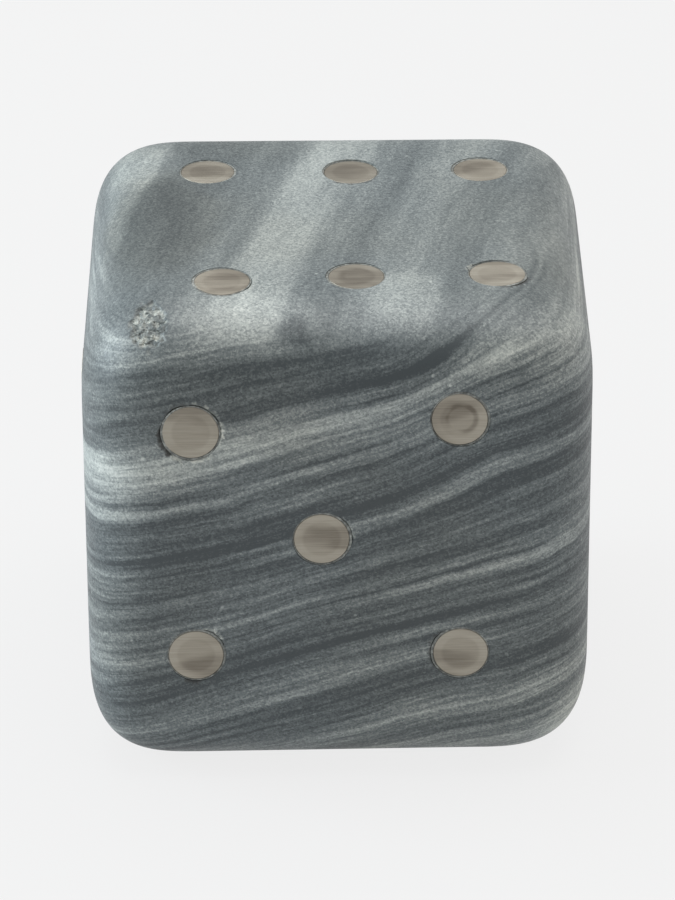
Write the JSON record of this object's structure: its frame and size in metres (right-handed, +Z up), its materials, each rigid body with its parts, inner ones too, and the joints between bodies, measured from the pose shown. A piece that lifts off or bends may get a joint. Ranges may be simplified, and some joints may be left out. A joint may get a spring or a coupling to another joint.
{
  "type": "gaming die",
  "caption": "Large cube-shaped gaming die of banded grey marble with hand-rounded edges and flat brushed metal discs inlaid as pips.",
  "frame": {"origin": "middle of the face with one pip, which the die rests on", "axes": "+Z up, out of the face with six pips; -Y out of the face with five pips, the one that looks at the viewer; +X out of the face with three pips"},
  "size_m": [0.09, 0.09, 0.09],
  "materials": {
    "marble": "satin",
    "pip_metal": "brushed",
    "adhesive": "matte"
  },
  "bodies": {
    "root": {"marble_block": "marble", "pip_six_1": "pip_metal", "pip_six_2": "pip_metal", "pip_six_3": "pip_metal", "pip_six_4": "pip_metal", "pip_six_5": "pip_metal", "pip_six_6": "pip_metal", "pip_five_1": "pip_metal", "pip_five_2": "pip_metal", "pip_five_3": "pip_metal", "pip_five_4": "pip_metal", "pip_five_5": "pip_metal", "pip_four_1": "pip_metal", "pip_four_2": "pip_metal", "pip_four_3": "pip_metal", "pip_four_4": "pip_metal", "pip_three_1": "pip_metal", "pip_three_2": "pip_metal", "pip_three_3": "pip_metal", "pip_two_1": "pip_metal", "pip_two_2": "pip_metal", "pip_one_1": "pip_metal", "adhesive_six_1": "adhesive", "adhesive_six_2": "adhesive", "adhesive_six_3": "adhesive", "adhesive_six_4": "adhesive", "adhesive_six_5": "adhesive", "adhesive_six_6": "adhesive", "adhesive_five_1": "adhesive", "adhesive_five_2": "adhesive", "adhesive_five_3": "adhesive", "adhesive_five_4": "adhesive", "adhesive_five_5": "adhesive", "adhesive_four_1": "adhesive", "adhesive_four_2": "adhesive", "adhesive_four_3": "adhesive", "adhesive_four_4": "adhesive", "adhesive_three_1": "adhesive", "adhesive_three_2": "adhesive", "adhesive_three_3": "adhesive", "adhesive_two_1": "adhesive", "adhesive_two_2": "adhesive", "adhesive_one_1": "adhesive"}
  },
  "joints": []
}
